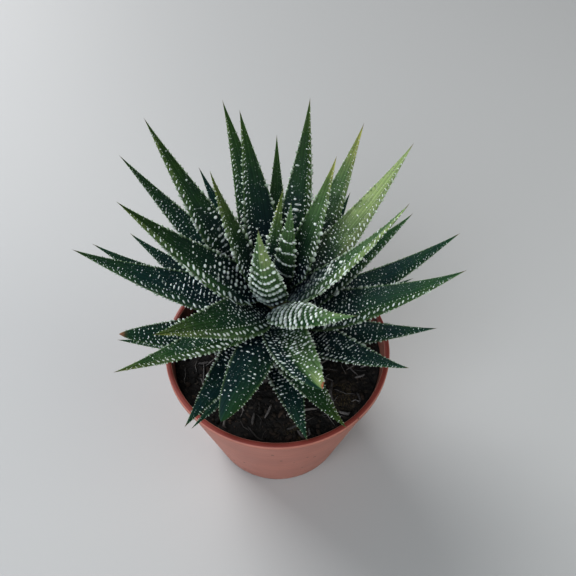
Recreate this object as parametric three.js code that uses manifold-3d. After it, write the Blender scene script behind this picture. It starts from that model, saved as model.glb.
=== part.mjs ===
// Potted haworthia: a rosette of pointed, keeled leaves on a short stem, in potting mix, in a thin
// tapered plastic grower pot. Millimetres, +Z up. The origin is the middle of the pot's flat foot.
import * as THREE from 'three';
import { mergeVertices } from 'three/addons/utils/BufferGeometryUtils.js';
import Module from 'manifold-3d';

const wasm = await Module();
wasm.setup();

// Pot: one thin moulding with a straight taper, a small lip and holes to drain it
const POT_HEIGHT = 64;
const RIM_RADIUS = 42.5;
const FOOT_RADIUS = 30;
const FOOT_EDGE = 1;
const WALL = 1.3;
const FLOOR = 1.6;
const LIP_HEIGHT = 2.6;
const LIP_PROUD = 0.5;
const LIP_WIDTH = 2.1;
const LIP_EDGE = 0.6;
const DRAIN_HOLES = 6;
const DRAIN_RADIUS = 3;
const DRAIN_CIRCLE = 20;
const DRAIN_SIDES = 12;
const POT_SIDES = 48;

// Soil: its level is the middle of its crumbly top
const SOIL_LEVEL = 57.6;
const SOIL_CRUMB = 0.8;
const SOIL_RINGS = 7;

// Clearance between pieces that meet
const GAP = 0.3;

// Stem: it stands off the pot's middle and narrows above its shoulder to the growing point
const STEM_AT = new THREE.Vector2(-1, 7);
const STEM_RADIUS = 4.6;
const STEM_FOOT = 44;
const STEM_SHOULDER = 70;
const STEM_TOP = 88;
const STEM_TIP = 1;
const STEM_NARROWING = 0.86;
const STEM_RINGS = 4;
const STEM_SIDES = 16;

// Leaf form, shared by every leaf. Shares are of a leaf's own length or half width.
const NECK = 0.42;
const WIDEST_AT = 0.17;
const THICKNESS = 0.25;
const THINNING = 0.75;
const KEEL = 1.5;
const BACK_ROUNDNESS = 0.9;
const HOLLOW_AT_BASE = -0.1;
const CROWN_AT_TIP = 0.15;
const TWISTED_BY = 0.3;
const TAPERS = { sharp: [1.4, 1.2], round: [2.2, 0.75], dried: [2.2, 0.75] };

// Leaf relief: tubercles on both faces and teeth on the margins, larger than life
const STATION_PITCH = 3.1;
const FEWEST_STATIONS = 7;
const TUBERCLE = 0.55;
const TOOTH = 0.6;
const NOTCH = 0.3;
const RELIEF_HALF_WIDTH = 3;
const RELIEF_STARTS = [0.04, 0.12];
const SMOOTH_UPPER_FROM = [0.55, 0.8];
const UPPER_CORNER = 0.52;
const BACK_CORNER = 0.6;

// One row for each leaf, from the oldest and lowest to the youngest.
// turn: the way it points, in degrees round from +X. seat: height of its base on the stem.
// rise: its slope at the base, in degrees. lift: how much steeper it is at the tip. sway: how far it
// bends round sideways. long and wide in mm. roll: its twist about its own length. tip: its end.
const LEAVES = [
  // turn seat rise lift sway long wide roll tip
  [133, 62.6, 4, 10, 0, 48, 11, 0, 'sharp'],
  [19, 62.8, 5, 10, 0, 54, 12, 0, 'sharp'],
  [200, 62.8, 3, 16, -14, 55, 12, -4, 'sharp'],
  [280, 62.8, 5, 16, 6, 49, 15, 5, 'sharp'],
  [79, 62.8, 8, 8, 0, 50, 13, 0, 'sharp'],
  [56, 65.2, 20, 8, 8, 59, 13, 0, 'sharp'],
  [245, 65.3, 3, 12, -8, 50, 10.5, 0, 'sharp'],
  [155, 65.4, 8, 13, -7, 65, 14, -8, 'sharp'],
  [345, 65.4, 10, 12, 8, 56, 15, 6, 'sharp'],
  [290, 66.8, 8, 14, 12, 52, 15, 8, 'sharp'],
  [119, 67, 20, 8, 2, 68, 13, 3, 'sharp'],
  [198, 67.3, 7, 12, -5, 53, 14, -4, 'dried'],
  [91, 68.5, 26, 9, 0, 72, 12, 0, 'sharp'],
  [14, 68.9, 13, 17, 8, 72, 15, 10, 'sharp'],
  [171, 70, 13, 10, -10, 69, 14, -3, 'sharp'],
  [237, 70.4, 6, 16, 14, 55, 16, -8, 'sharp'],
  [57, 70.4, 35, 12, 5, 76, 15, 2, 'sharp'],
  [323, 70.6, 10, 36, -14, 59, 16, -5, 'sharp'],
  [142, 71.8, 26, 9, 5, 79, 14, 0, 'sharp'],
  [352, 72.7, 22, 30, -12, 70, 16, 14, 'sharp'],
  [105, 73.4, 38, 6, 10, 78, 16, -2, 'sharp'],
  [253, 73.7, 11, 8, 2, 50, 15, -2, 'round'],
  [15, 75, 32, 13, 7, 57, 13, 6, 'sharp'],
  [73, 75.7, 47, 12, 9, 73, 15, 3, 'sharp'],
  [217, 76.8, 8, 30, 16, 64, 13.5, 5, 'sharp'],
  [282, 77, 22, 0, 16, 45, 15.5, 2, 'dried'],
  [28, 78.6, 43, 14, 1, 71, 15, 8, 'sharp'],
  [182, 78.8, 15, 10, -10, 69, 16, -12, 'sharp'],
  [231, 80.3, 34, 2, -4, 56, 17, -20, 'sharp'],
  [145, 80.5, 40, 15, -3, 74, 15, 5, 'sharp'],
  [287, 80.9, 43, -10, 58, 44, 13.5, 18, 'sharp'],
  [105, 81.8, 52, 7, 8, 64, 15, -2, 'sharp'],
  [185, 83.1, 43, 12, 2, 64, 16, -10, 'sharp'],
  [251, 83.4, 74, 12, -15, 44, 13, 18, 'sharp'],
  [153, 84.2, 58, 20, 0, 51, 11, 1, 'sharp'],
  [340, 84.4, 48, 18, 6, 65, 14, -4, 'sharp'],
  [98, 84.6, 70, -4, -40, 38, 8, -3, 'sharp'],
  [37, 84.9, 60, 12, 8, 53, 12, 3, 'sharp'],
  [45, 87, 76, 10, 24, 36, 9, 2, 'sharp'],
];

const toRadians = THREE.MathUtils.degToRad;
const smooth = THREE.MathUtils.smoothstep;
const lerp = THREE.MathUtils.lerp;

// A repeatable scatter between -1 and 1, from two counts.
function scatter(a, b) {
  const value = Math.sin(a * 127.1 + b * 311.7) * 43758.5453;
  return 2 * (value - Math.floor(value)) - 1;
}

// The geometry with only its positions, each corner point once.
function welded(geometry) {
  const bare = geometry.clone();
  bare.deleteAttribute('normal');
  bare.deleteAttribute('uv');
  return mergeVertices(bare, 1e-4);
}

function toSolid(geometry) {
  const merged = welded(geometry);
  return new wasm.Manifold(new wasm.Mesh({
    numProp: 3,
    vertProperties: new Float32Array(merged.attributes.position.array),
    triVerts: new Uint32Array(merged.index.array),
  }));
}

function toGeometry(solid) {
  const mesh = solid.getMesh();
  const geometry = new THREE.BufferGeometry();
  geometry.setAttribute('position', new THREE.BufferAttribute(mesh.vertProperties, 3));
  geometry.setIndex(new THREE.BufferAttribute(mesh.triVerts, 1));
  geometry.computeVertexNormals();
  return geometry;
}

// A profile of [radius, height] points turned about +Z.
function turned(profile, sides) {
  const points = profile.map(([radius, height]) => new THREE.Vector2(radius, height));
  return new THREE.LatheGeometry(points, sides).rotateX(Math.PI / 2);
}

// Outer radius of the pot's tapered wall at a height.
function wallRadius(height) {
  return lerp(FOOT_RADIUS, RIM_RADIUS - LIP_PROUD, height / (POT_HEIGHT - LIP_HEIGHT));
}

function potGeometry() {
  const lipBase = POT_HEIGHT - LIP_HEIGHT;
  const lipTop = POT_HEIGHT - LIP_EDGE;
  const inside = (height) => wallRadius(height) - WALL;
  const shell = turned([
    [0, 0], [FOOT_RADIUS - FOOT_EDGE, 0], [wallRadius(FOOT_EDGE), FOOT_EDGE],
    [wallRadius(lipBase), lipBase], [RIM_RADIUS, lipBase + LIP_PROUD], [RIM_RADIUS, lipTop],
    [RIM_RADIUS - LIP_EDGE, POT_HEIGHT], [RIM_RADIUS - LIP_WIDTH + LIP_EDGE, POT_HEIGHT],
    [RIM_RADIUS - LIP_WIDTH, lipTop], [inside(lipBase), lipBase], [inside(FLOOR), FLOOR], [0, FLOOR],
  ], POT_SIDES);
  const drain = new THREE.CylinderGeometry(DRAIN_RADIUS, DRAIN_RADIUS, 4 * FLOOR, DRAIN_SIDES);
  drain.rotateX(Math.PI / 2).translate(DRAIN_CIRCLE, 0, 0).rotateZ(Math.PI / DRAIN_HOLES);
  let solid = toSolid(shell);
  for (let i = 0; i < DRAIN_HOLES; i += 1) {
    solid = solid.subtract(toSolid(drain));
    drain.rotateZ(2 * Math.PI / DRAIN_HOLES);
  }
  return toGeometry(solid);
}

// Radius of the stem at a height: straight below the shoulder, then narrowing to the growing point.
function stemRadius(height) {
  const up = THREE.MathUtils.clamp((height - STEM_SHOULDER) / (STEM_TOP - STEM_SHOULDER), 0, 1);
  return STEM_RADIUS * Math.sqrt(1 - STEM_NARROWING * up * up);
}

function stemGeometry() {
  const profile = [[0, STEM_FOOT], [STEM_RADIUS, STEM_FOOT]];
  for (let i = 0; i <= STEM_RINGS; i += 1) {
    const height = lerp(STEM_SHOULDER, STEM_TOP - STEM_TIP, i / STEM_RINGS);
    profile.push([stemRadius(height), height]);
  }
  profile.push([0, STEM_TOP]);
  return turned(profile, STEM_SIDES).translate(STEM_AT.x, STEM_AT.y, 0);
}

// Potting mix to a few millimetres under the rim, with a crumbly top and a plain hole for the stem.
function soilGeometry() {
  const bottom = FLOOR + GAP;
  const inside = (height) => wallRadius(height) - WALL - GAP;
  const profile = [[0, bottom], [inside(bottom), bottom]];
  for (let i = 0; i < SOIL_RINGS; i += 1) {
    profile.push([inside(SOIL_LEVEL) * (1 - i / SOIL_RINGS), SOIL_LEVEL]);
  }
  profile.push([0, SOIL_LEVEL]);
  const mix = welded(turned(profile, POT_SIDES));
  const place = mix.attributes.position;
  for (let i = 0; i < place.count; i += 1) {
    if (place.getZ(i) > SOIL_LEVEL - SOIL_CRUMB) {
      const crumb = scatter(Math.round(place.getX(i)), Math.round(place.getY(i)));
      place.setZ(i, SOIL_LEVEL + SOIL_CRUMB * crumb);
    }
  }
  const holeFoot = STEM_FOOT - GAP;
  const deep = POT_HEIGHT - holeFoot;
  const hole = new THREE.CylinderGeometry(STEM_RADIUS + GAP, STEM_RADIUS + GAP, deep, STEM_SIDES);
  hole.rotateX(Math.PI / 2).translate(STEM_AT.x, STEM_AT.y, holeFoot + deep / 2);
  return toGeometry(toSolid(mix).subtract(toSolid(hole)));
}

// Width of a leaf at a share of its length, as a share of its full width: it widens from the neck, then
// tapers to the tip.
function outline(along, tip) {
  const rising = lerp(NECK, 1, smooth(along, 0, WIDEST_AT));
  const past = Math.max(0, (along - WIDEST_AT) / (1 - WIDEST_AT));
  const [taper, close] = TAPERS[tip];
  return rising * (1 - past ** taper) ** close;
}

// The leaf's middle line and the two directions across it, at evenly spaced stations.
function leafStations({ turn, seat, rise, lift, sway, long, roll }, count) {
  const substeps = 4;
  const steps = count * substeps;
  const round = (along) => toRadians(turn + sway * along);
  const heading = (along) => {
    const up = toRadians(rise + lift * along);
    const level = Math.cos(up);
    return new THREE.Vector3(level * Math.cos(round(along)), level * Math.sin(round(along)), Math.sin(up));
  };
  const base = stemRadius(seat) + GAP;
  const spot = new THREE.Vector3(
    STEM_AT.x + base * Math.cos(round(0)), STEM_AT.y + base * Math.sin(round(0)), seat);
  const stations = [];
  for (let i = 0; i <= steps; i += 1) {
    const along = i / steps;
    if (i % substeps === 0) {
      const forward = heading(along);
      const twist = toRadians(roll) * Math.min(1, along / TWISTED_BY);
      const across = new THREE.Vector3(-Math.sin(round(along)), Math.cos(round(along)), 0);
      across.applyAxisAngle(forward, twist);
      stations.push({ along, spot: spot.clone(), across, face: forward.clone().cross(across) });
    }
    const midway = (i + 0.5) / steps;
    spot.addScaledVector(heading(midway), long / steps);
  }
  return stations;
}

// A leaf is a loft: a slightly hollow upper face, a deep keeled back, and a margin on each side. Every
// second corner, in alternating rows, is raised: into a tubercle on the faces, into a tooth on a margin.
function leafGeometry(leaf) {
  const count = Math.max(FEWEST_STATIONS, Math.round(leaf.long / STATION_PITCH));
  const stations = leafStations(leaf, count);
  const apex = stations.pop();
  const corners = [
    [1, 'margin'], [UPPER_CORNER, 'upper'], [0, 'upper'], [-UPPER_CORNER, 'upper'],
    [-1, 'margin'], [-BACK_CORNER, 'back'], [0, 'back'], [BACK_CORNER, 'back'],
  ];
  const sides = corners.length;
  const places = [];
  stations.forEach(({ along, spot, across, face }, row) => {
    const share = outline(along, leaf.tip);
    const half = leaf.wide / 2 * share;
    const depth = leaf.wide * THICKNESS * share ** THINNING;
    const crown = half * lerp(HOLLOW_AT_BASE, CROWN_AT_TIP, along);
    const relief = Math.min(1, half / RELIEF_HALF_WIDTH) * smooth(along, ...RELIEF_STARTS);
    const upperRelief = relief * (1 - smooth(along, ...SMOOTH_UPPER_FROM));
    corners.forEach(([side, kind], column) => {
      const raised = (row + column) % 2 === 0;
      let out = half * side;
      let up = 0;
      if (kind === 'margin') {
        out += side * relief * (raised ? TOOTH : -NOTCH);
      } else if (kind === 'upper') {
        up = crown * (1 - side * side) + (raised ? TUBERCLE * upperRelief : 0);
      } else {
        up = -depth * (1 - Math.abs(side) ** KEEL) ** BACK_ROUNDNESS - (raised ? TUBERCLE * relief : 0);
      }
      places.push(spot.clone().addScaledVector(across, out).addScaledVector(face, up));
    });
  });
  const faces = [];
  for (let row = 0; row < stations.length - 1; row += 1) {
    for (let column = 0; column < sides; column += 1) {
      const next = (column + 1) % sides;
      const a = row * sides + column;
      const b = row * sides + next;
      const c = a + sides;
      const d = b + sides;
      // The fold runs between the two low corners, so that each raised one is a peak of its own.
      if ((row + column) % 2 === 0) {
        faces.push([a, b, c], [b, d, c]);
      } else {
        faces.push([a, b, d], [a, d, c]);
      }
    }
  }
  const base = places.push(stations[0].spot.clone().addScaledVector(stations[0].face, -GAP)) - 1;
  const tip = places.push(apex.spot) - 1;
  const lastRow = (stations.length - 1) * sides;
  for (let column = 0; column < sides; column += 1) {
    const next = (column + 1) % sides;
    faces.push([base, next, column], [lastRow + column, lastRow + next, tip]);
  }
  const geometry = new THREE.BufferGeometry().setFromPoints(places);
  geometry.setIndex(faces.flat());
  geometry.computeVertexNormals();
  return geometry;
}

const terracotta = new THREE.MeshStandardMaterial({ color: 0xa0645a, roughness: 0.55, metalness: 0 });
const pottingMix = new THREE.MeshStandardMaterial({ color: 0x1d1815, roughness: 1, metalness: 0 });
const stemSkin = new THREE.MeshStandardMaterial({ color: 0x6b6a3c, roughness: 0.8, metalness: 0 });
const leafSkin = new THREE.MeshStandardMaterial({ color: 0x2b4a37, roughness: 0.45, metalness: 0 });

const plant = new THREE.Group();

function add(name, geometry, material) {
  const mesh = new THREE.Mesh(geometry, material);
  mesh.name = name;
  plant.add(mesh);
}

add('pot', potGeometry(), terracotta);
add('soil', soilGeometry(), pottingMix);
add('stem', stemGeometry(), stemSkin);
LEAVES.forEach(([turn, seat, rise, lift, sway, long, wide, roll, tip], i) => {
  const name = `leaf_${String(i + 1).padStart(2, '0')}`;
  add(name, leafGeometry({ turn, seat, rise, lift, sway, long, wide, roll, tip }), leafSkin);
});

export default plant;
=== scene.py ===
"""Looks of a potted haworthia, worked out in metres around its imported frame."""
import bpy
import bmesh
from collections import namedtuple
import numpy as np
from mathutils import Matrix


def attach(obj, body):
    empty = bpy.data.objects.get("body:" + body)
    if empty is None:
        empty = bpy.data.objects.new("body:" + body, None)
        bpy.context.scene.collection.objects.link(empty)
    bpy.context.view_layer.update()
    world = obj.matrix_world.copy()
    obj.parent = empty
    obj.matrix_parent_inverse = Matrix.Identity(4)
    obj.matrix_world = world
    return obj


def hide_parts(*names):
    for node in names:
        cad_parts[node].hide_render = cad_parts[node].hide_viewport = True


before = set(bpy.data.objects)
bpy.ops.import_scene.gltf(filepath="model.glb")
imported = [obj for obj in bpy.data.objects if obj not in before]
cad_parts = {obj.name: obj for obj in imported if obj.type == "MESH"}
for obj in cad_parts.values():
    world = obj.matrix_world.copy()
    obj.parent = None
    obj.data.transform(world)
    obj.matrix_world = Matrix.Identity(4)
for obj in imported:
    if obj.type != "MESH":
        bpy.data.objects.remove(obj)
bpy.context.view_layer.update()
MM = 0.001

# Pot: one thin injection moulding in matt terracotta-coloured plastic, straight and tapered, with a small
# rolled lip. Six round holes in its floor drain it. It comes out of the tool in one piece.
pot_height, rim_radius, foot_radius = 64.0, 42.5, 30.0
foot_edge, wall, floor_thickness = 1.0, 1.3, 1.6
lip_height, lip_proud, lip_width, lip_edge = 2.6, 0.5, 2.1, 0.6
drain_holes, drain_radius, drain_circle = 6, 3.0, 20.0
pot_sides, wall_rows, lip_rows, floor_rings, spoke_points = 192, 24, 13, 5, 9


def wall_radius(height):
    """Outer radius: from the foot's to the lip's along a straight taper."""
    return foot_radius + (rim_radius - lip_proud - foot_radius) * height / (pot_height - lip_height)


def turned(profile, sides):
    """A profile of (radius, height) carried round +Z: (r cos a, r sin a, h), in faces of four corners."""
    angle = np.linspace(0, 2 * np.pi, sides, endpoint=False)
    radius, height = np.asarray(profile, float).T
    points = np.stack([
        np.outer(radius, np.cos(angle)), np.outer(radius, np.sin(angle)),
        np.outer(height, np.ones(sides))], axis=-1).reshape(-1, 3)
    return points, grid_faces(len(radius), sides)


def grid_faces(rows, columns):
    """Faces between neighbouring rows of points, closed round the columns."""
    corner = np.arange(rows * columns).reshape(rows, columns)
    after = np.roll(corner, -1, axis=1)
    return np.stack([corner[:-1], after[:-1], after[1:], corner[1:]], axis=-1).reshape(-1, 4)


def make_piece(name, points, faces, material, slot, node=None, weld=True, traits=None):
    """A smooth-shaded mesh from points in mm, riding on the plant, with its traits kept on its points."""
    mesh = bpy.data.meshes.new(name)
    mesh.from_pydata((np.asarray(points) * MM).tolist(), [], [f.tolist() for f in faces])
    for trait, values in (traits or {}).items():
        column = mesh.attributes.new(trait, "FLOAT", "POINT").data
        column.foreach_set("value", np.asarray(values, np.float32))
    if weld:
        body = bmesh.new()
        body.from_mesh(mesh)
        bmesh.ops.remove_doubles(body, verts=body.verts, dist=1e-6)
        bmesh.ops.recalc_face_normals(body, faces=body.faces)
        body.to_mesh(mesh)
        body.free()
    mesh.polygons.foreach_set("use_smooth", np.ones(len(mesh.polygons), bool))
    mesh.materials.append(material)
    piece = bpy.data.objects.new(name, mesh)
    bpy.context.scene.collection.objects.link(piece)
    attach(piece, "root")
    if node:
        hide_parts(node)
    return piece


def new_material(name):
    """A node material and its principled shader, with a short way to add and join nodes."""
    material = bpy.data.materials.new(name)
    material.use_nodes = True
    tree = material.node_tree
    shader = tree.nodes["Principled BSDF"]

    def add(kind, inputs=None, **settings):
        node = tree.nodes.new(kind)
        for key, value in settings.items():
            setattr(node, key, value)
        for key, value in (inputs or {}).items():
            if isinstance(value, bpy.types.NodeSocket):
                tree.links.new(value, node.inputs[key])
            else:
                node.inputs[key].default_value = value
        return node

    def join(source, target):
        tree.links.new(source, target)

    return material, shader, add, join


def ramp(add, factor, stops):
    """A colour ramp on a factor, from (place, colour) stops."""
    node = add("ShaderNodeValToRGB", {"Fac": factor})
    band = node.color_ramp
    for place, colour in stops[2:]:
        band.elements.new(place)
    for element, (place, colour) in zip(band.elements, sorted(stops)):
        element.position = place
        element.color = (*colour, 1.0)
    return node.outputs["Color"]


def blend(add, factor, first, second, mode="MIX"):
    """Two colours mixed by a factor."""
    node = add("ShaderNodeMix", data_type="RGBA", blend_type=mode)
    for index, value in ((0, factor), (6, first), (7, second)):
        if isinstance(value, bpy.types.NodeSocket):
            node.id_data.links.new(value, node.inputs[index])
        else:
            node.inputs[index].default_value = value
    return node.outputs[2]


def noise(add, place, scale, detail):
    """A cloudy pattern on a place, a half on the whole."""
    return add("ShaderNodeTexNoise", {"Vector": place, "Scale": scale, "Detail": detail}).outputs["Fac"]


def between(add, value, low, high, to_low=0.0, to_high=1.0):
    """A value carried in a straight line from low and high to two others, and held at both."""
    return add("ShaderNodeMapRange", {
        "Value": value, "From Min": low, "From Max": high,
        "To Min": to_low, "To Max": to_high}).outputs["Result"]


def combine(add, kind, first, second):
    """Two values added, subtracted, multiplied or compared."""
    return add("ShaderNodeMath", {0: first, 1: second}, operation=kind).outputs[0]


def roughen(add, join, shader, height, strength, distance):
    """A bump on the shader's surface from a height, as deep as the distance in metres."""
    bump = add("ShaderNodeBump", {"Height": height, "Strength": strength, "Distance": distance})
    join(bump.outputs["Normal"], shader.inputs["Normal"])


def drained_floor(height):
    """The floor at a height: for each hole a fan of rays from its circle out to its share of the floor."""
    share = 2 * np.pi / drain_holes
    reach = foot_radius - foot_edge if height == 0 else wall_radius(height) - wall
    arc = np.linspace(-share / 2, share / 2, pot_sides // drain_holes + 1)
    rim = np.stack([reach * np.cos(arc), reach * np.sin(arc)], axis=1)
    spoke = np.linspace(0, 1, spoke_points)[:-1, None]
    edge = np.concatenate([spoke * rim[0], rim, spoke[:0:-1] * rim[-1]])
    ray = edge - [drain_circle, 0]
    circle = [drain_circle, 0] + drain_radius * ray / np.linalg.norm(ray, axis=1, keepdims=True)
    out = np.linspace(0, 1, floor_rings)[:, None, None]
    flat = circle + out * (edge - circle)
    turn = share * (np.arange(drain_holes) + 0.5)[:, None, None, None]
    x = flat[..., :1] * np.cos(turn) - flat[..., 1:] * np.sin(turn)
    y = flat[..., :1] * np.sin(turn) + flat[..., 1:] * np.cos(turn)
    points = np.concatenate([x, y, np.full_like(x, height)], axis=-1)
    return points, grid_faces(floor_rings, len(edge))


def pot_surface():
    """The wall's outline turned round, the floor's two faces, and a short tube through each drain hole."""
    lip_base = pot_height - lip_height
    over = np.linspace(0, np.pi, lip_rows)
    middle = rim_radius - lip_width / 2
    lip = np.stack([
        middle + lip_width / 2 * np.cos(over), pot_height - lip_edge + lip_edge * np.sin(over)], axis=1)
    climb = np.linspace(foot_edge, lip_base, wall_rows)
    outside = np.stack([wall_radius(climb), climb], axis=1)
    descend = np.linspace(lip_base, floor_thickness, wall_rows)
    inside = np.stack([wall_radius(descend) - wall, descend], axis=1)
    foot = [[foot_radius - foot_edge, 0], [foot_radius - foot_edge / 3, foot_edge / 4]]
    under_lip = [[rim_radius - 0.15, lip_base + lip_proud * 0.5], [rim_radius, lip_base + lip_proud]]
    points, faces = turned(np.concatenate([foot, outside, under_lip, lip, inside]), pot_sides)
    under, fan = drained_floor(0.0)
    upper, _ = drained_floor(floor_thickness)
    all_points, all_faces, count = [points], [faces], len(points)
    for hole in range(drain_holes):
        for sheet, order in ((under[hole], 1), (upper[hole], -1)):
            all_points.append(sheet.reshape(-1, 3))
            all_faces.append(fan[:, ::order] + count)
            count += sheet[..., 0].size
        tube = np.stack([under[hole][0], upper[hole][0]])
        all_points.append(tube.reshape(-1, 3))
        all_faces.append(grid_faces(2, tube.shape[1]) + count)
        count += tube[..., 0].size
    return np.concatenate(all_points), np.concatenate(all_faces)


def terracotta_plastic():
    """Pinkish brown plastic: faint clouds and level rings, fine grain, dark specks, and a darker lip."""
    material, shader, add, join = new_material("terracotta_plastic")
    place = add("ShaderNodeTexCoord").outputs["Object"]
    cloud = noise(add, place, 60.0, 5.0)
    grain = noise(add, place, 1800.0, 2.0)
    plastic = ramp(add, cloud, [(0.35, (0.42, 0.175, 0.132)), (0.65, (0.48, 0.212, 0.163))])
    height = add("ShaderNodeSeparateXYZ", {"Vector": place}).outputs["Z"]
    level = add("ShaderNodeCombineXYZ", {"X": cloud, "Z": combine(add, "MULTIPLY", height, 700.0)})
    ring = ramp(add, noise(add, level.outputs[0], 1.0, 3.0), [(0.3, (0.95,) * 3), (0.7, (1.04,) * 3)])
    plastic = blend(add, 1.0, plastic, ring, "MULTIPLY")
    lip = between(add, height, (pot_height - 0.25) * MM, (pot_height - 0.12) * MM)
    plastic = blend(add, lip, plastic, (0.22, 0.043, 0.030, 1.0))
    speck = add("ShaderNodeTexVoronoi", {"Vector": place, "Scale": 150.0}).outputs["Distance"]
    plastic = blend(add, between(add, speck, 0.075, 0.105), (0.16, 0.08, 0.055, 1.0), plastic)
    join(plastic, shader.inputs["Base Color"])
    join(between(add, cloud, 0.0, 1.0, 0.42, 0.6), shader.inputs["Roughness"])
    roughen(add, join, shader, grain, 0.25, 0.0001)
    return material


make_piece("grower_pot", *pot_surface(), terracotta_plastic(), "pot", node="pot")

# Soil: peaty potting mix poured in round the roots and watered down to a few millimetres under the lip.
# It is near black when damp, crumbly, and keeps a plain hole where the stem stands.
soil_level, soil_crumb, gap = 57.6, 0.8, 0.3
stem_at, stem_radius, stem_foot = np.array([-1.0, 7.0]), 4.6, 44.0
soil_rings, soil_sides = 110, 288
moss_patches = (((0.0235, -0.0190), 0.0085), ((0.0075, -0.0345), 0.0055))
rng = np.random.default_rng(7)
wave_sizes, wave_heights, waves_each = [0.35, 1.0, 2.2, 4.0, 7.0], [0.20, 0.16, 0.13, 0.10, 0.07], 14
wave_count = waves_each * len(wave_sizes)
crumb_waves = rng.normal(size=(wave_count, 2)) * np.repeat(wave_sizes, waves_each)[:, None]
crumb_phases = rng.uniform(0, 2 * np.pi, wave_count)
crumb_heights = np.repeat(wave_heights, waves_each) / np.sqrt(waves_each / 2)


def soil_height(x, y):
    """Level of the soil: its mean plus many cosine waves of falling length and height, cut off softly."""
    phase = x[..., None] * crumb_waves[:, 0] + y[..., None] * crumb_waves[:, 1] + crumb_phases
    rough = np.cos(phase) @ crumb_heights
    return soil_level + soil_crumb * np.tanh(1.5 * rough)


def soil_surface():
    """An outline turned round: up the wall, in over the top, at soil_height, and down the hole."""
    inside = wall_radius(soil_level) - wall - gap
    bottom = floor_thickness + gap
    across = np.linspace(1, 0, soil_rings)[:-1]
    side = [[0, bottom], [wall_radius(bottom) - wall - gap, bottom]]
    top = np.stack([inside * across, np.full(len(across), soil_level)], axis=1)
    points, faces = turned(np.concatenate([side, top, [[0, soil_level]]]), soil_sides)
    share = np.hypot(points[:, 0], points[:, 1]) / inside
    upper = points[:, 2] > soil_level - 1
    points[:, :2] += upper[:, None] * (1 - share[:, None]) * stem_at
    points[upper, 2] = soil_height(points[upper, 0], points[upper, 1])
    away = points[:, :2] - stem_at
    far = np.hypot(away[:, 0], away[:, 1])
    pit = upper & (far < stem_radius + gap)
    points[pit, 2] = stem_foot - gap
    return points, faces


def mossy(add, place, fine):
    """How mossy the top is: one inside each patch's radius, fading out, and broken up by fine noise."""
    patches = []
    for centre, radius in moss_patches:
        away = add("ShaderNodeVectorMath", {0: place, 1: (*centre, soil_level * MM)}, operation="DISTANCE")
        patches.append(between(add, away.outputs["Value"], radius, radius * 0.4))
    return combine(add, "MULTIPLY", combine(add, "MAXIMUM", *patches), between(add, fine, 0.42, 0.60))


def damp_soil():
    """Near-black mix with brown and grey crumbs in it, rough, slightly shiny where it is damp."""
    material, shader, add, join = new_material("damp_soil")
    place = add("ShaderNodeTexCoord").outputs["Object"]
    crumb = add("ShaderNodeTexVoronoi", {"Vector": place, "Scale": 900.0}).outputs["Color"]
    fine = noise(add, place, 1500.0, 6.0)
    earth = ramp(add, add("ShaderNodeSeparateColor", {"Color": crumb}).outputs["Red"], [
        (0.0, (0.004, 0.003, 0.003)), (0.6, (0.008, 0.006, 0.005)), (0.88, (0.019, 0.014, 0.011)),
        (1.0, (0.07, 0.055, 0.042))])
    earth = blend(add, 0.6, earth, ramp(add, fine, [(0.3, (0.25,) * 3), (0.8, (1.6,) * 3)]), "MULTIPLY")
    earth = blend(add, mossy(add, place, fine), earth, (0.085, 0.060, 0.026, 1.0))
    join(earth, shader.inputs["Base Color"])
    shader.inputs["Roughness"].default_value = 0.85
    roughen(add, join, shader, fine, 0.9, 0.0005)
    return material


make_piece("potting_mix", *soil_surface(), damp_soil(), "soil", node="soil")

# Crumbs, bark and fibres: loose lumps of peat and bark, and cut root fibres, that lie on the mix where
# watering has washed the fines away. They rest on it and aren't fixed.
crumb_count, fibre_count, fibre_sides = 1500, 190, 5
litter_reach, clear_of_stem = 37.5, 1.5


def spread_spots(count, low, high):
    """Seeded spots over the soil between two radii, even by area and clear of the stem."""
    reach = np.sqrt(rng.uniform(low ** 2, high ** 2, count))
    turn = rng.uniform(0, 2 * np.pi, count)
    spots = np.stack([reach * np.cos(turn), reach * np.sin(turn)], axis=1)
    return spots[np.hypot(*(spots - stem_at).T) > stem_radius + clear_of_stem]


def lumps():
    """Each lump is a 20-faced ball whose corners are pulled in and out, stretched and turned, half sunk."""
    ball = bmesh.new()
    bmesh.ops.create_icosphere(ball, subdivisions=1, radius=1)
    corners = np.array([v.co for v in ball.verts])
    sides = np.array([[v.index for v in f.verts] for f in ball.faces])
    ball.free()
    spots = spread_spots(crumb_count, 0, litter_reach)
    count = len(spots)
    size = 0.32 + 1.1 * rng.uniform(0, 1, count) ** 3
    stretch = np.stack([
        rng.uniform(0.8, 2.2, count), rng.uniform(0.6, 1.1, count), rng.uniform(0.35, 0.75, count)], axis=1)
    pulled = corners[None] * rng.uniform(0.7, 1.2, (count, len(corners), 1))
    shape = pulled * (size[:, None] * stretch)[:, None]
    turn = rng.uniform(0, 2 * np.pi, count)[:, None]
    x = shape[..., 0] * np.cos(turn) - shape[..., 1] * np.sin(turn) + spots[:, :1]
    y = shape[..., 0] * np.sin(turn) + shape[..., 1] * np.cos(turn) + spots[:, 1:]
    level = soil_height(spots[:, 0], spots[:, 1])[:, None]
    z = shape[..., 2] + level + 0.1 * size[:, None]
    points = np.stack([x, y, z], axis=-1).reshape(-1, 3)
    faces = (sides[None] + (np.arange(count) * len(corners))[:, None, None]).reshape(-1, 3)
    shade = np.repeat(rng.uniform(0, 1, count) ** 2.2, len(corners))
    return points, faces, {"shade": shade}


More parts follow.
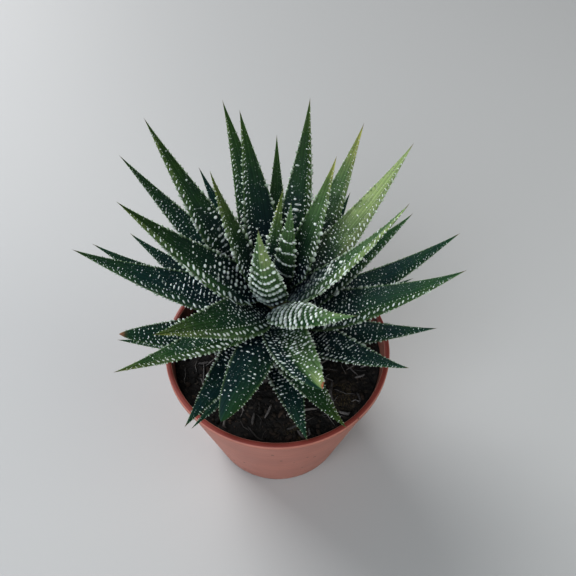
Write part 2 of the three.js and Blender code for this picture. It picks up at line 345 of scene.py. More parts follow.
def closed_tube(rows, columns):
    """Triangles of a tube: a fan on its first point, pairs between its rows, and a fan on its last point."""
    quads = grid_faces(rows, columns) + 1
    ring = np.arange(columns) + 1
    after = np.roll(ring, -1)
    last = (rows - 1) * columns
    start = np.stack([np.zeros(columns, int), after, ring], axis=1)
    end = np.stack([np.full(columns, rows * columns + 1), last + ring, last + after], axis=1)
    return np.concatenate([start, quads[:, [0, 1, 2]], quads[:, [0, 2, 3]], end])


def fibres():
    """Each fibre is a closed five-sided tube along a bent line on the soil, thinner at its ends."""
    spots = spread_spots(fibre_count, 8, 36)
    count, steps = len(spots), 8
    run = np.linspace(-0.5, 0.5, steps)
    stout = rng.uniform(0, 1, (count, 1)) < 0.30
    long = np.where(stout, rng.uniform(3.5, 9, (count, 1)), rng.uniform(3.5, 12, (count, 1)))
    bent = rng.normal(0, 0.5, (count, 1)) * np.where(stout, 0.3, 1.0)
    head = rng.uniform(0, 2 * np.pi, (count, 1)) + bent * run + 0.5 * bent * np.sin(9 * run)
    x = spots[:, :1] + np.cumsum(np.cos(head), axis=1) * long / steps
    y = spots[:, 1:] + np.cumsum(np.sin(head), axis=1) * long / steps
    inward = np.minimum(1, litter_reach / np.maximum(np.hypot(x, y), 1))
    x, y = x * inward, y * inward
    thick = 0.12 + 0.20 * rng.uniform(0, 1, (count, 1)) ** 2 + 0.34 * stout
    thick = thick * (1 - 0.5 * np.abs(2 * run) ** 4)
    z = soil_height(x, y) + 0.4 + 0.2 * stout + rng.uniform(0, 0.6, (count, 1))
    z = z + rng.normal(0, 0.7, (count, 1)) * run
    round_it = np.linspace(0, 2 * np.pi, fibre_sides, endpoint=False)
    side = np.stack([-np.sin(head), np.cos(head)], axis=-1)
    points = np.stack([
        x[..., None] + thick[..., None] * np.cos(round_it) * side[..., :1],
        y[..., None] + thick[..., None] * np.cos(round_it) * side[..., 1:],
        z[..., None] + thick[..., None] * np.sin(round_it)], axis=-1)
    line = np.stack([x, y, z], axis=-1)
    points = np.concatenate([line[:, :1], points.reshape(count, -1, 3), line[:, -1:]], axis=1)
    each = points.shape[1]
    faces = (closed_tube(steps, fibre_sides)[None] + (np.arange(count) * each)[:, None, None]).reshape(-1, 3)
    return points.reshape(-1, 3), faces, {"shade": np.repeat(rng.uniform(0, 1, count), each)}


def litter(name, dark, light):
    """Rough brown matter whose pieces differ in shade."""
    material, shader, add, join = new_material(name)
    place = add("ShaderNodeTexCoord").outputs["Object"]
    shade = add("ShaderNodeAttribute", attribute_name="shade").outputs["Fac"]
    fine = noise(add, place, 2200.0, 4.0)
    tone = ramp(add, shade, [(0.0, dark), (1.0, light)])
    tone = blend(add, 0.7, tone, ramp(add, fine, [(0.3, (0.35,) * 3), (0.7, (1.5,) * 3)]), "MULTIPLY")
    join(tone, shader.inputs["Base Color"])
    shader.inputs["Roughness"].default_value = 0.9
    roughen(add, join, shader, fine, 0.8, 0.0003)
    return material


for name, (points, faces, traits), tones in (
        ("soil_crumbs", lumps(), ("peat_and_bark", (0.005, 0.004, 0.003), (0.060, 0.040, 0.028))),
        ("root_fibres", fibres(), ("root_fibre", (0.040, 0.036, 0.035), (0.25, 0.23, 0.22)))):
    make_piece(name, points, faces, litter(*tones), "soil", weld=False, traits=traits)

# Stem: the short upright stem that carries every leaf. It is green-brown, ringed by old leaf scars, and
# narrows to the growing point between the youngest leaves.
stem_shoulder, stem_top, stem_narrowing = 70.0, 88.0, 0.86
scar_depth, scar_pitch = 0.12, 1.7
stem_rows, stem_sides, dome_rows = 90, 48, 6


def stem_radius_at(height):
    """Radius: straight below the shoulder, then the root of one less a square, to the growing point."""
    up = np.clip((height - stem_shoulder) / (stem_top - stem_shoulder), 0, 1)
    return stem_radius * np.sqrt(1 - stem_narrowing * up * up)


def stem_surface():
    """The stem's outline turned round, with a low ring for each leaf scar and a rounded top."""
    height = np.linspace(stem_foot, stem_top - 1, stem_rows)
    radius = stem_radius_at(height) - scar_depth + scar_depth * np.cos(height * 2 * np.pi / scar_pitch)
    cap = np.linspace(0, np.pi / 2, dome_rows)
    dome = np.stack([radius[-1] * np.cos(cap), stem_top - 1 + np.sin(cap)], axis=1)
    outline = np.concatenate([[[0, stem_foot]], np.stack([radius, height], axis=1), dome[1:]])
    points, faces = turned(outline, stem_sides)
    return points + [*stem_at, 0], faces


def green_bark():
    """Mottled brown-green skin."""
    material, shader, add, join = new_material("green_bark")
    mottle = noise(add, add("ShaderNodeTexCoord").outputs["Object"], 700.0, 5.0)
    bark = ramp(add, mottle, [(0.3, (0.05, 0.045, 0.02)), (0.7, (0.13, 0.13, 0.05))])
    join(bark, shader.inputs["Base Color"])
    shader.inputs["Roughness"].default_value = 0.7
    roughen(add, join, shader, mottle, 0.5, 0.0002)
    return material


make_piece("leafy_stem", *stem_surface(), green_bark(), "stem", node="stem")

# Leaves: thick, stiff and fleshy, dark green, with a nearly flat upper face and a keeled back. They grow
# from the stem in a rosette, the oldest lowest. White tubercles stud both faces, and teeth the margins.

# A leaf sets out at an angle round the stem (turn), a height (seat) and a slope (rise). Lift and sway are
# added to slope and turn along its length. Facet is the side and size of the part of its upper face that
# turns up. Tone 0 is near black and 1 pale green. Angles are in degrees and lengths in mm.
Leaf = namedtuple("Leaf", "turn seat rise lift sway long wide roll tip studs tone facet")
leaves = [Leaf(*row) for row in (
    (133, 62.6, 4, 10, 0, 48, 11, 0, "sharp", "dim", 0.27, 0),
    (19, 62.8, 5, 10, 0, 54, 12, 0, "sharp", "dim", 0.25, 0),
    (200, 62.8, 3, 16, -14, 55, 12, -4, "sharp", "dim", 0.25, 0.8),
    (280, 62.8, 5, 16, 6, 49, 15, 5, "sharp", "dim", 0.23, 0),
    (79, 62.8, 8, 8, 0, 50, 13, 0, "sharp", "dim", 0.27, 0),
    (56, 65.2, 20, 8, 8, 59, 13, 0, "sharp", "rows", 0.25, 0),
    (245, 65.3, 3, 12, -8, 50, 10.5, 0, "sharp", "dim", 0.23, 0),
    (155, 65.4, 8, 13, -7, 65, 14, -8, "sharp", "dim", 0.23, 0.4),
    (345, 65.4, 10, 12, 8, 56, 15, 6, "sharp", "dim", 0.23, -0.4),
    (290, 66.8, 8, 14, 12, 52, 15, 8, "sharp", "dim", 0.37, 0.6),
    (119, 67, 20, 8, 2, 68, 13, 3, "sharp", "rows", 0.20, 0),
    (198, 67.3, 7, 12, -5, 53, 14, -4, "dried", "dim", 0.24, 0.5),
    (91, 68.5, 26, 9, 0, 72, 12, 0, "sharp", "sparse", 0.30, 0),
    (14, 68.9, 13, 17, 8, 72, 15, 10, "sharp", "fine", 0.24, -0.5),
    (171, 70, 13, 10, -10, 69, 14, -3, "sharp", "rows", 0.24, 0.4),
    (237, 70.4, 6, 16, 14, 55, 16, -8, "sharp", "rows", 0.20, 0.3),
    (57, 70.4, 35, 12, 5, 76, 15, 2, "sharp", "rows", 0.58, -0.5),
    (323, 70.6, 10, 36, -14, 59, 16, -5, "sharp", "rows", 0.20, -0.5),
    (142, 71.8, 26, 9, 5, 79, 14, 0, "sharp", "rows", 0.26, 0.4),
    (352, 72.7, 22, 30, -12, 70, 16, 14, "sharp", "fine", 0.29, -1),
    (105, 73.4, 38, 6, 10, 78, 16, -2, "sharp", "sparse", 0.28, 0.7),
    (253, 73.7, 11, 8, 2, 50, 15, -2, "round", "scant", 0.16, 0.3),
    (15, 75, 32, 13, 7, 57, 13, 6, "sharp", "bold", 0.34, -0.5),
    (73, 75.7, 47, 12, 9, 73, 15, 3, "sharp", "bold", 0.32, -0.9),
    (217, 76.8, 8, 30, 16, 64, 13.5, 5, "sharp", "rows", 0.38, 1),
    (282, 77, 22, 0, 16, 45, 15.5, 2, "nipped", "folded", 0.16, -0.5),
    (28, 78.6, 43, 14, 1, 71, 15, 8, "sharp", "fine", 0.82, -0.6),
    (182, 78.8, 15, 10, -10, 69, 16, -12, "sharp", "rows", 0.24, 0.8),
    (231, 80.3, 34, 2, -4, 56, 17, -20, "sharp", "fine", 0.40, 1),
    (145, 80.5, 40, 15, -3, 74, 15, 5, "sharp", "bold", 0.34, 0.7),
    (287, 80.9, 43, -10, 58, 44, 13.5, 18, "sharp", "slanted", 0.46, 0),
    (105, 81.8, 52, 7, 8, 64, 15, -2, "sharp", "sparse", 0.29, 0.6),
    (185, 83.1, 43, 12, 2, 64, 16, -10, "sharp", "bold", 0.32, 1),
    (251, 83.4, 74, 12, -15, 44, 13, 18, "sharp", "bands", 0.54, 0),
    (153, 84.2, 58, 20, 0, 51, 11, 1, "sharp", "bare", 0.50, 0.4),
    (340, 84.4, 48, 18, 6, 65, 14, -4, "sharp", "bold", 0.50, -1),
    (98, 84.6, 70, -4, -40, 38, 8, -3, "sharp", "bare", 0.48, 0.8),
    (37, 84.9, 60, 12, 8, 53, 12, 3, "sharp", "bare", 0.57, -0.5),
    (45, 87, 76, 10, 24, 36, 9, 2, "sharp", "ringed", 0.56, 0),
)]
neck, widest_at, thickness, thinning = 0.42, 0.17, 0.25, 0.75
keel, back_roundness, hollow_at_base, crown_at_tip = 1.5, 0.9, -0.1, 0.15
twisted_by = 0.3
facet_from, facet_drop, ridged_facet = 0.5556, 0.36, 0.35
tapers = {"sharp": (1.4, 1.2), "round": (2.2, 0.75), "dried": (2.2, 0.75), "nipped": (2.2, 0.75)}
station_pitch, around = 1.15, 32
first_row, last_row, clear_margin = 1.5, 3.5, 0.92
# For each kind of studs: row pitch, spacing in a row, half width, half length and the share kept at the tip.
upper_studs = {
    "fine": (1.45, 1.55, 0.32, 0.26, 0.04), "rows": (1.55, 1.45, 0.42, 0.27, 0.45),
    "dim": (1.65, 1.55, 0.44, 0.31, 0.75), "scant": (2.1, 1.9, 0.36, 0.30, 0.60),
    "bold": (2.0, 1.95, 0.60, 0.48, 0.18), "sparse": (2.7, 2.5, 0.56, 0.46, 0.02),
    "bare": (3.4, 2.4, 0.52, 0.46, 0.35), "folded": (1.50, 1.50, 0.46, 0.38, 0.70),
    "bands": (3.6, 1.05, 0.80, 0.60, 0.90), "slanted": (2.5, 1.10, 0.92, 0.66, 1.0),
    "ringed": (4.6, 1.10, 0.80, 0.50, 1.0)}
back_studs = {
    "fine": (1.80, 1.80, 0.52, 0.34, 0.9), "rows": (1.85, 1.80, 0.56, 0.34, 0.9),
    "dim": (2.1, 1.95, 0.50, 0.34, 0.9), "scant": (2.3, 2.1, 0.50, 0.34, 0.8),
    "bold": (1.95, 1.90, 0.66, 0.44, 0.9), "sparse": (2.4, 2.2, 0.62, 0.44, 0.6),
    "bare": (2.6, 1.9, 0.60, 0.44, 0.7), "folded": (1.85, 1.80, 0.58, 0.34, 0.9),
    "bands": (3.6, 1.15, 0.80, 0.72, 0.95), "slanted": (3.3, 1.20, 0.84, 0.62, 1.0),
    "ringed": (4.6, 1.10, 0.80, 0.50, 1.0)}
banded = ("bands", "slanted", "ringed")
# Small grains for each square millimetre, how far the upper face swells, the lean of its rows in mm, and the
# pitch and size of the margin's teeth, for the kinds that differ.
grainy = {"fine": 0.30, "rows": 0.16, "bold": 0.12, "dim": 0.10, "folded": 0.10}
swell = {"bands": 0.3, "slanted": 0.3, "ringed": 0.3, "folded": -0.34}
slant = {"slanted": -3.0}
tooth_pitch = {"sparse": 3.0, "bare": 3.3, "ringed": 2.6}
tooth_size = {
    "bold": 1.45, "bare": 1.6, "bands": 1.5, "slanted": 1.4, "ringed": 1.5, "sparse": 1.4, "scant": 0.85}
# By a leaf's number: how much lighter its one side is painted, as painted light falling on that side, the
# share of the length from which its tip turns olive, the share up to which painted shade darkens its base,
# and how much painted shade dulls its lowest tubercles.
painted_lit_side = {26: 0.46, 34: 0.15, 31: 0.10, 22: 0.10}
olive_from = {
    10: 0.60, 13: 0.45, 17: 0.75, 19: 0.50, 21: 0.45, 24: 0.45, 25: 0.72, 28: 0.75, 29: 0.60, 30: 0.45,
    32: 0.45, 33: 0.60, 35: 0.40, 37: 0.40, 38: 0.75}
painted_shade_to = {
    13: 0.60, 17: 0.75, 21: 0.64, 24: 0.56, 25: 0.22, 26: 0.16, 27: 0.68, 29: 0.30, 30: 0.56, 31: 0.16,
    32: 0.74, 33: 0.38, 34: 0.34, 35: 0.62, 36: 0.56, 37: 0.60, 38: 0.58}
painted_tubercle_shade = {36: 0.75}
usual_painted_shade_to, usual_grain, usual_tooth_pitch, usual_tooth = 0.48, 0.04, 1.95, 1.25


def smooth(value, low, high):
    """The step that eases from 0 at low to 1 at high: 3 u u - 2 u u u."""
    u = np.clip((value - low) / (high - low), 0, 1)
    return u * u * (3 - 2 * u)


def middle_line(leaf, along):
    """Spot, heading, across and face at shares of the length: the slope and turn change evenly along."""
    def heading(t):
        up, level = np.radians(leaf.rise + leaf.lift * t), np.radians(leaf.turn + leaf.sway * t)
        return np.stack([np.cos(up) * np.cos(level), np.cos(up) * np.sin(level), np.sin(up)], axis=-1)

    steps = 400
    travel = np.cumsum(heading((np.arange(steps) + 0.5) / steps), axis=0) * leaf.long / steps
    travel = np.concatenate([np.zeros((1, 3)), travel])
    off = stem_radius_at(leaf.seat) + gap
    out = np.radians(leaf.turn)
    start = np.array([*stem_at, leaf.seat]) + off * np.array([np.cos(out), np.sin(out), 0])
    share = np.linspace(0, 1, steps + 1)
    spot = start + np.stack([np.interp(along, share, travel[:, k]) for k in range(3)], axis=-1)
    forward = heading(along)
    level = np.radians(leaf.turn + leaf.sway * along)
    flat = np.stack([-np.sin(level), np.cos(level), np.zeros_like(along)], axis=-1)
    twist = (np.radians(leaf.roll) * np.minimum(1, along / twisted_by))[..., None]
    across = flat * np.cos(twist) + np.cross(forward, flat) * np.sin(twist)
    return spot, forward, across, np.cross(forward, across)


def width_share(along, tip):
    """Width as a share of the full one: eases up from the neck, then a power curve down to the tip."""
    past = np.clip((along - widest_at) / (1 - widest_at), 0, 1)
    taper, close = tapers[tip]
    return (neck + (1 - neck) * smooth(along, 0, widest_at)) * (1 - past ** taper) ** close


def on_leaf(leaf, along, side, upper):
    """Point on a leaf: side runs from -1 to 1 across; the upper face is a low arch, the back a keel."""
    spot, _, across, face = middle_line(leaf, along)
    share = width_share(along, leaf.tip)
    half = leaf.wide / 2 * share
    depth = leaf.wide * thickness * share ** thinning
    swollen = swell.get(leaf.studs, 0.0)
    arch = half * (hollow_at_base + (crown_at_tip - hollow_at_base) * along + swollen) * (1 - side ** 2)
    belly = -depth * np.clip(1 - np.abs(side) ** keel, 0, 1) ** back_roundness
    turned_up = np.clip((side * np.sign(leaf.facet) - facet_from) / (1 - facet_from), 0, 1) ** 1.2
    sink = facet_drop * abs(leaf.facet) * half * turned_up * smooth(along, 0.04, 0.3)
    return spot + across * (half * side)[..., None] + face * (np.where(upper, arch, belly) - sink)[..., None]


def outward(leaf, along, side, upper):
    """The way out of a leaf's face: across the slopes of its section and of its length."""
    small = 0.01
    over = on_leaf(leaf, along, np.clip(side + small, -1, 1), upper) - on_leaf(
        leaf, along, np.clip(side - small, -1, 1), upper)
    run = on_leaf(leaf, np.clip(along + small, 0, 1), side, upper) - on_leaf(
        leaf, np.clip(along - small, 0, 1), side, upper)
    normal = np.cross(run, over)
    return np.where(np.asarray(upper)[..., None], normal, -normal)


def unit(vectors):
    """Vectors made one long."""
    return vectors / np.linalg.norm(vectors, axis=-1, keepdims=True)


def domes(centre, normal, run, wide, tall, long, pale, rings):
    """Low domes: rings of points that narrow as they rise, a top point, and a flat foot below the skin."""
    cross = unit(np.cross(run, normal))
    run = np.cross(normal, cross)
    sides = 7 if rings > 1 else 5
    angle = np.linspace(0, 2 * np.pi, sides, endpoint=False)
    levels = ((1.0, -0.3), (0.78, 0.55))[:rings]
    parts = []
    for index, (reach, lift) in enumerate(levels):
        spin = angle + index * np.pi / sides
        parts.append(
            centre[:, None] + normal[:, None] * (tall * lift)[:, None, None]
            + cross[:, None] * (reach * wide)[:, None, None] * np.cos(spin)[None, :, None]
            + run[:, None] * (reach * long)[:, None, None] * np.sin(spin)[None, :, None])
    parts.append((centre + normal * tall[:, None])[:, None])
    points = np.concatenate(parts, axis=1)
    foot = np.arange(sides)
    after = np.roll(foot, -1)
    last = (rings - 1) * sides
    top = rings * sides
    fan = [np.stack([last + foot, last + after, np.full(sides, top)], 1),
           np.stack([np.zeros(sides - 2, int), foot[2:], foot[1:-1]], 1)]
    if rings > 1:
        fan.append(np.stack([foot, after, sides + foot], 1))
        fan.append(np.stack([after, sides + after, sides + foot], 1))
    fan = np.concatenate(fan)
    each = points.shape[1]
    count = len(centre)
    faces = (fan[None] + (np.arange(count) * each)[:, None, None]).reshape(-1, 3)
    white = np.concatenate([np.full(sides, 0.1), np.full(each - sides - 1, 0.8), [1.0]])
    return points.reshape(-1, 3), faces, np.outer(pale, white).ravel(), each


def tubercles(leaf, along, side, upper, wide, tall, long, pale, rings=2, run=None):
    """Domes that stand straight out of a face, as one shell with its traits; long in the leaf's run."""
    centre = on_leaf(leaf, along, side, upper)
    normal = unit(outward(leaf, along, side, upper))
    run = middle_line(leaf, along)[1] if run is None else run
    points, faces, white, each = domes(centre, normal, run, wide, tall, long, pale, rings)
    return points, faces, white, np.repeat(along, each), np.repeat(side, each)


def rows_of_spots(leaf, pitch, spacing, bend, draw):
    """Rows across a leaf, staggered and shaken; bend carries a row's ends on toward the tip."""
    along, side = [], []
    for index, place in enumerate(np.arange(first_row, leaf.long - last_row, pitch)):
        reach = leaf.wide * width_share(place / leaf.long, leaf.tip)
        count = max(1, int(reach / spacing + draw.uniform(-0.3, 0.7)))
        spots = (np.arange(count) + 0.5 + (0.25 if index % 2 else -0.25)) / count * 2 - 1
        side.append(spots + draw.normal(0, 0.20 / count, count))
        shaken = 0.05 if leaf.studs in banded else 0.09
        along.append(np.full(count, place) + draw.normal(0, shaken * min(pitch, 2.6), count))
    along, side = np.concatenate(along), np.concatenate(side)
    keep = np.abs(side) < clear_margin
    along, side = along[keep], side[keep]
    along = along + bend * np.abs(side) ** 1.5 + slant.get(leaf.studs, 0.0) * side
    return np.clip(along / leaf.long, 0.01, 0.985), side


def studded(leaf, upper, draw):
    """The tubercles of one face: rows of domes, smaller and fewer toward the tip, some drawn out across."""
    pitch, spacing, wide, long, kept = (upper_studs if upper else back_studs)[leaf.studs]
    t, x = rows_of_spots(leaf, pitch, spacing, 0.5 if upper else 1.4, draw)
    keep = draw.uniform(0, 1, len(t)) < 1 + (kept - 1) * smooth(t, 0.15, 0.72)
    if upper and abs(leaf.facet) >= ridged_facet:
        keep &= x * np.sign(leaf.facet) < facet_from - 0.06
    t, x = t[keep], x[keep]
    varied = 0.16 if leaf.studs in banded else 0.32
    size = 1.15 * np.clip(draw.lognormal(0, varied, len(t)), 0.5, 1.55)
    size = size * (0.25 + 0.75 * width_share(t, leaf.tip) ** 0.8)
    drawn_out = 1 + 0.7 * (draw.uniform(0, 1, len(t)) < (0.0 if leaf.studs in banded else 0.2))
    face = np.full(len(t), upper)
    pale = 1 - 0.65 * draw.uniform(0, 1, len(t)) ** 2
    return tubercles(leaf, t, x, face, size * wide * drawn_out, size * long * 0.95, size * long, pale)


def grains(leaf, draw):
    """Pinhead bumps scattered over both faces between the tubercles."""
    count = int(leaf.long * leaf.wide * grainy.get(leaf.studs, usual_grain))
    t = draw.uniform(0.03, 0.93, count) ** 1.15
    x = draw.uniform(-0.9, 0.9, count)
    size = draw.uniform(0.11, 0.22, count)
    face = draw.uniform(0, 1, count) < 0.6
    return tubercles(leaf, t, x, face, size * 1.2, size, size, draw.uniform(0.25, 0.8, count), rings=1)


def facet_ridges(leaf, draw):
    """On a turned-up facet: slanting ridges, a beaded crease, and on some long ridges by the margin."""
    if abs(leaf.facet) < ridged_facet:
        return []
    way, long = np.sign(leaf.facet), leaf.long
    place = np.arange(3.0, long - 5.0, 2.4 if leaf.studs == "bold" else 1.95)
    t = np.clip((place + draw.normal(0, 0.2, len(place))) / long, 0, 0.97)
    x = way * draw.uniform(0.72, 0.86, len(t))
    _, forward, across, _ = middle_line(leaf, t)
    size = np.clip(width_share(t, leaf.tip), 0.15, 1) ** 0.6 * draw.uniform(0.75, 1.25, len(t))
    size *= (0.6 + 0.4 * abs(leaf.facet)) * (1.25 if leaf.studs == "bold" else 1.15)
    pale = draw.uniform(0.75, 1.0, len(t))
    shells = [tubercles(leaf, t, x, np.full(len(t), True), size * 0.42, size * 0.44, size * 1.05, pale,
                        run=across * way - 0.8 * forward)]
    place = np.arange(3.0, long - 6.0, 1.5)
    t = np.clip((place + draw.normal(0, 0.25, len(place))) / long, 0, 0.97)
    x = np.full(len(t), way * facet_from)
    size = np.clip(width_share(t, leaf.tip), 0.2, 1) ** 0.5 * draw.uniform(0.20, 0.42, len(t))
    pale = draw.uniform(0.6, 1.0, len(t))
    shells.append(tubercles(leaf, t, x, np.full(len(t), True), size, size, size, pale))
    if leaf.studs == "bold" and abs(leaf.facet) == 1:
        t = (2.0 + np.cumsum(draw.uniform(5.0, 8.0, 5))) / long
        x = way * draw.uniform(0.90, 0.97, len(t))
        _, forward, across, _ = middle_line(leaf, t)
        same = np.ones(len(t))
        shells.append(tubercles(
            leaf, t, x, same > 0, same * 0.32, same * 0.50, draw.uniform(1.4, 2.6, len(t)), same * 0.9,
            run=forward - 0.3 * way * across))
    return shells


def margin_teeth(leaf, draw):
    """Teeth on both margins: blunt domes that lean toward the tip and grip the edge from both faces."""
    long = leaf.long
    pitch = tooth_pitch.get(leaf.studs, usual_tooth_pitch)
    shells = []
    for margin in (1.0, -1.0):
        step = draw.uniform(0.45, 1.5, int(long / pitch) + 8) * pitch
        place = np.cumsum(step * (1 - 0.25 * np.cumsum(step) / long))
        t = place[place < long - 1.8] / long
        x = np.full(len(t), margin)
        varied = np.clip(draw.lognormal(0, 0.25, len(t)), 0.6, 1.45)
        size = np.clip(width_share(t, leaf.tip), 0.12, 1) ** 0.4 * varied
        size *= tooth_size.get(leaf.studs, usual_tooth) - 0.4 * t
        size *= 0.35 + 0.65 * smooth(t, 0.04, 0.42)
        size = np.minimum(size, 0.10 + 0.45 * leaf.wide * width_share(t, leaf.tip))
        _, forward, across, face = middle_line(leaf, t)
        out = unit(across * margin + 0.55 * forward - 0.10 * face)
        centre = on_leaf(leaf, t, x, np.ones(len(t), bool)) - out * (0.28 * size)[:, None]
        drawn_out = 1 + 1.1 * draw.uniform(0, 1, len(t)) ** 2 * width_share(t, leaf.tip)
        points, faces, white, each = domes(
            centre, out, forward, size * 0.40, size / drawn_out ** 0.3, size * 0.46 * drawn_out,
            draw.uniform(0.45, 1.0, len(t)) * (1 - 0.35 * t), 2)
        shells.append((points, faces, white, np.repeat(t, each), np.repeat(x, each)))
    return shells


def leaf_skin_shell(leaf, number):
    """The closed skin: stations along by angles round, faintly uneven, with a heel point and a tip point."""
    stations = np.concatenate([
        np.linspace(0, 0.96, int(leaf.long / station_pitch)), [0.973, 0.985, 0.994, 0.998]])
    angle = np.linspace(0, 2 * np.pi, around, endpoint=False)
    along = np.repeat(stations, around)
    side = np.tile(np.cos(angle), len(stations))
    upper = np.tile(np.arange(around) <= around // 2, len(stations))
    run = along * leaf.long
    uneven = 0.09 * (np.sin(run * 0.9 + 3 * side) + np.sin(run * 0.47 - 5 * side + number))
    _, _, _, face = middle_line(leaf, along)
    lift = uneven * (1 - np.abs(side)) * width_share(along, leaf.tip)
    points = on_leaf(leaf, along, side, upper) + face * lift[:, None]
    ends, forward, _, _ = middle_line(leaf, np.array([0.0, 1.0]))
    points = np.concatenate([ends[:1] - forward[:1] * gap, points, ends[1:]])
    along, side = np.concatenate([[0], along, [1]]), np.concatenate([[0], side, [0]])
    return points, closed_tube(len(stations), around), np.zeros(len(points)), along, side


def leaf_piece(number, leaf, material):
    """One leaf: its skin, tubercles, grains, ridges and teeth in one mesh, with traits for its colour."""
    draw = np.random.default_rng(100 + number)
    shells = [leaf_skin_shell(leaf, number), studded(leaf, False, draw), studded(leaf, True, draw),
              grains(leaf, draw), *facet_ridges(leaf, draw), *margin_teeth(leaf, draw)]
    offsets = np.cumsum([0] + [len(shell[0]) for shell in shells[:-1]])
    faces = np.concatenate([shell[1] + offset for shell, offset in zip(shells, offsets)])
    points, white, along, side = (np.concatenate([shell[k] for shell in shells]) for k in (0, 2, 3, 4))
    dry_from = 0.970 if leaf.tip == "dried" else 0.975
    dry = smooth(along, dry_from - 0.02, dry_from + 0.015) * (leaf.tip != "round")
    if leaf.tip == "nipped":
        dry = smooth(along, 0.93, 0.95) * smooth(side, 0.1, 0.5)
    # Painted shade: on some leaves the tubercles near the base are dulled, as where shade falls among
    # crowded leaves.
    white = white * (1 - painted_tubercle_shade.get(number, 0.0) * (1 - smooth(along, 0.15, 0.50)))
    traits = {
        "white": white, "along": along, "side": side, "dry": dry,
        "run": along * leaf.long + 90.0 * number,
        "over": side * leaf.wide / 2 * width_share(along, leaf.tip),
        # Painted light: on some leaves the tone is raised on one side, as if light fell on that side.
        "tone": leaf.tone + painted_lit_side.get(number, 0.0) * smooth(side, -0.5, 0.05),
        "facet": abs(leaf.facet) * smooth(side * np.sign(leaf.facet), 0.5, 0.6),
        # base: how far a point lies into the share of the leaf that painted shade darkens.
        "base": along / painted_shade_to.get(number, usual_painted_shade_to),
        "olive": smooth(along, olive_from.get(number, 1.0) - 0.1, 1.05) * (number in olive_from),
        "browned": np.full(len(points), {"sharp": 0.0, "dried": 0.5}.get(leaf.tip, 1.0))}
    return make_piece(f"fleshy_leaf_{number:02d}", points, faces, material, "leaf",
                      node=f"leaf_{number:02d}", weld=False, traits=traits)


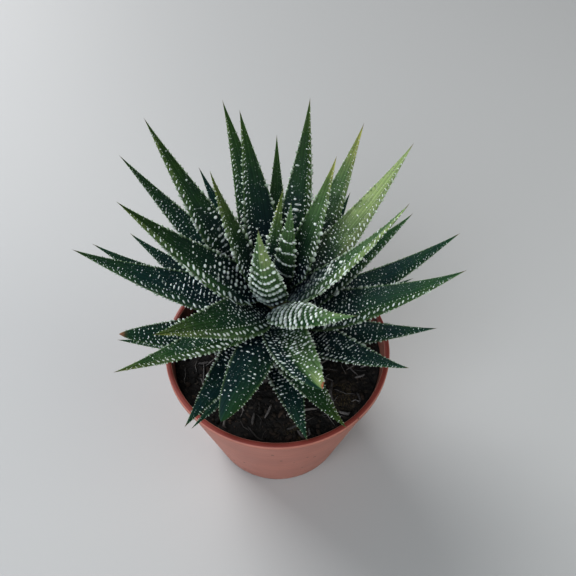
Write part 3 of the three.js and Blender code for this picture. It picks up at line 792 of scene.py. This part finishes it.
def haworthia_skin():
    """Waxy skin, near black at the base under painted shade and green to the tip, with faint veins, pearls
    and dry points, and painted light on its margins, facets and lit sides.
    """
    material, shader, add, join = new_material("haworthia_skin")
    place = add("ShaderNodeTexCoord").outputs["Object"]

    def trait(name):
        return add("ShaderNodeAttribute", attribute_name=name).outputs["Fac"]

    mottle = noise(add, place, 140.0, 4.0)
    fine = noise(add, place, 2600.0, 3.0)
    along, tone, over = trait("along"), trait("tone"), trait("over")
    # Lighter toward the tip: partly the leaf's own colour and partly painted light and shade, steeper on the
    # paler leaves.
    tipward = combine(add, "SUBTRACT", along, 0.45)
    tipward = combine(add, "MULTIPLY", tipward, between(add, tone, 0, 1, 0.12, 0.95))
    # The turned-up facet is lighter: partly its own paler colour and partly painted light where light
    # catches it.
    turned_up = combine(add, "MULTIPLY", trait("facet"), between(add, tone, 0, 0.5, 0.10, 0.28))
    lighter = combine(add, "ADD", tipward, between(add, mottle, 0.3, 0.7, -0.08, 0.08))
    lighter = combine(add, "ADD", lighter, turned_up)
    green = ramp(add, combine(add, "ADD", tone, lighter), [
        (0.0, (0.007, 0.022, 0.022)), (1.0, (0.28, 0.35, 0.16)), (0.25, (0.013, 0.041, 0.033)),
        (0.50, (0.025, 0.070, 0.026)), (0.78, (0.102, 0.172, 0.075))])
    # Painted shade: up to each leaf's share the skin fades to near-black blue, standing for the shadow among
    # crowded leaves.
    painted_shade_from_base = combine(add, "ADD", trait("base"), between(add, mottle, 0.3, 0.7, -0.1, 0.1))
    green = blend(add, between(add, painted_shade_from_base, 0.25, 1.0), (0.003, 0.010, 0.016, 1.0), green)
    # Painted shade: the darkest leaves are tinted blue, as shade lit by cool light looks.
    painted_shade_blue = blend(add, 1.0, green, (0.70, 0.84, 0.98, 1.0), "MULTIPLY")
    green = blend(add, between(add, tone, 0.22, 0.285), painted_shade_blue, green)
    olive = blend(add, 1.0, green, (1.42, 1.04, 0.66, 1.0), "MULTIPLY")
    green = blend(add, trait("olive"), green, olive)
    vein_place = add("ShaderNodeCombineXYZ", {"X": between(add, trait("run"), 0, 1, 0, 0.10), "Y": over})
    veins = noise(add, vein_place.outputs[0], 1.6, 2.0)
    veins = ramp(add, veins, [(0.35, (0.72,) * 3), (0.65, (1.28,) * 3)])
    green = blend(add, 1.0, green, veins, "MULTIPLY")
    # Painted light: a yellow-green rim along both margins stands for light shining through the thin edge.
    from_middle = add("ShaderNodeMath", {0: trait("side")}, operation="ABSOLUTE").outputs[0]
    green = blend(add, between(add, from_middle, 0.86, 1.0, 0.0, 0.42), green, (0.14, 0.22, 0.07, 1.0))
    fleck_place = add("ShaderNodeCombineXYZ", {"X": trait("run"), "Y": over, "Z": 0.0}).outputs[0]
    fleck = add("ShaderNodeTexVoronoi", {"Vector": fleck_place, "Scale": 1.05}).outputs["Distance"]
    fleck = between(add, fleck, 0.21, 0.13)
    fleck = combine(add, "MULTIPLY", fleck, between(add, along, 0.45, 0.85, 0.45, 0.0))
    pearl = ramp(add, fine, [(0.3, (0.76, 0.83, 0.76)), (0.7, (0.95, 0.97, 0.95))])
    # Painted shade: the pearls are dulled to grey-green near the base and on the darkest leaves, where shade
    # falls.
    pearl = blend(add, between(add, along, 0.03, 0.36), (0.21, 0.28, 0.27, 1.0), pearl)
    pearl = blend(add, between(add, tone, 0.15, 0.32, 0.20, 0.0), pearl, (0.24, 0.32, 0.31, 1.0))
    skin = blend(add, combine(add, "MAXIMUM", trait("white"), fleck), green, pearl)
    dried = ramp(add, mottle, [(0.3, (0.17, 0.045, 0.030)), (0.7, (0.42, 0.17, 0.09))])
    point = ramp(add, mottle, [(0.3, (0.06, 0.040, 0.025)), (0.7, (0.24, 0.20, 0.13))])
    skin = blend(add, trait("dry"), skin, blend(add, trait("browned"), point, dried))
    join(skin, shader.inputs["Base Color"])
    join(between(add, mottle, 0.3, 0.7, 0.40, 0.55), shader.inputs["Roughness"])
    shader.inputs["Specular IOR Level"].default_value = 0.09
    shader.inputs["Subsurface Weight"].default_value = 0.10
    shader.inputs["Subsurface Radius"].default_value = (0.5, 1.0, 0.25)
    shader.inputs["Subsurface Scale"].default_value = 0.001
    roughen(add, join, shader, combine(add, "ADD", fine, combine(add, "MULTIPLY", fleck, 1.5)), 0.3, 0.0002)
    return material


leaf_skin = haworthia_skin()
for number, leaf in enumerate(leaves, start=1):
    leaf_piece(number, leaf, leaf_skin)

# Floor: plain and pale, and wider than the view. The pot stands on it, and it is no part of the plant.
floor_half, floor_tone = 3.0, (0.45, 0.45, 0.44, 1.0)


def floor_surface():
    """A flat square at the height of the foot."""
    mesh = bpy.data.meshes.new("plain_floor")
    corners = [(x * floor_half, y * floor_half, 0) for x, y in ((-1, -1), (1, -1), (1, 1), (-1, 1))]
    mesh.from_pydata(corners, [], [(0, 1, 2, 3)])
    return mesh


def floor_paint():
    """One pale tone all over, matt."""
    material, shader, _, _ = new_material("floor_paint")
    shader.inputs["Base Color"].default_value = floor_tone
    shader.inputs["Roughness"].default_value = 0.6
    return material


floor_mesh = floor_surface()
floor_mesh.materials.append(floor_paint())
plain_floor = bpy.data.objects.new("plain_floor", floor_mesh)
bpy.context.scene.collection.objects.link(plain_floor)

# Light: a broad soft light at the back left, and weaker ones round the other sides so that no side is dark.
# The picture is opened up a little, as a camera does in a bright room.


def soft_light(name, place, aim, size, power, colour):
    """A square area light at a place, turned to its aim."""
    light = bpy.data.lights.new(name, "AREA")
    light.size, light.energy, light.color = size, power, colour
    lamp = bpy.data.objects.new(name, light)
    lamp.location = place
    from_aim = np.array(place, float) - np.array(aim, float)
    yaw = np.arctan2(from_aim[1], from_aim[0]) + np.pi / 2
    tilt = np.arccos(from_aim[2] / np.linalg.norm(from_aim))
    lamp.rotation_euler = (tilt, 0, yaw)
    bpy.context.scene.collection.objects.link(lamp)


soft_light("broad_light", (-1.40, 1.55, 1.60), (0, 0, 0.06), 1.7, 60.0, (0.98, 0.98, 1.0))
soft_light("right_side", (0.75, -0.25, 0.45), (0, 0, 0.08), 0.6, 1.9, (0.97, 0.98, 0.93))
soft_light("cool_front", (-0.50, -0.80, 0.85), (0, 0, 0.08), 0.9, 10.0, (0.88, 0.93, 1.0))
world = bpy.data.worlds.new("all_round_light")
world.use_nodes = True
world.node_tree.nodes["Background"].inputs["Color"].default_value = (0.90, 0.95, 1.0, 1.0)
world.node_tree.nodes["Background"].inputs["Strength"].default_value = 0.20
bpy.context.scene.world = world
bpy.context.scene.view_settings.view_transform = "Standard"
bpy.context.scene.view_settings.exposure = 0.27
bpy.context.scene.view_settings.gamma = 0.80

# Camera: held in front of the plant and above it, looking down into the rosette, turned a hair to one side.
camera_at = np.array([3.5, -114.5, 236.5]) * MM
camera_elevation, camera_roll = np.radians(50.8), 0.0175
focal_length, sensor_width = 33.75, 36.0
back = np.array([0, -np.cos(camera_elevation), np.sin(camera_elevation)])
right = np.array([1.0, 0, 0])
up = np.cross(back, right)
right, up = (np.cos(camera_roll) * right + np.sin(camera_roll) * up,
             -np.sin(camera_roll) * right + np.cos(camera_roll) * up)
lens = bpy.data.cameras.new("photo_view")
lens.sensor_width, lens.lens = sensor_width, focal_length
lens.clip_start = 0.01
camera = bpy.data.objects.new("photo_view", lens)
bpy.context.scene.collection.objects.link(camera)
pose = np.eye(4)
pose[:3, 0], pose[:3, 1], pose[:3, 2], pose[:3, 3] = right, up, back, camera_at
camera.matrix_world = Matrix(pose.tolist())
bpy.context.scene.camera = camera
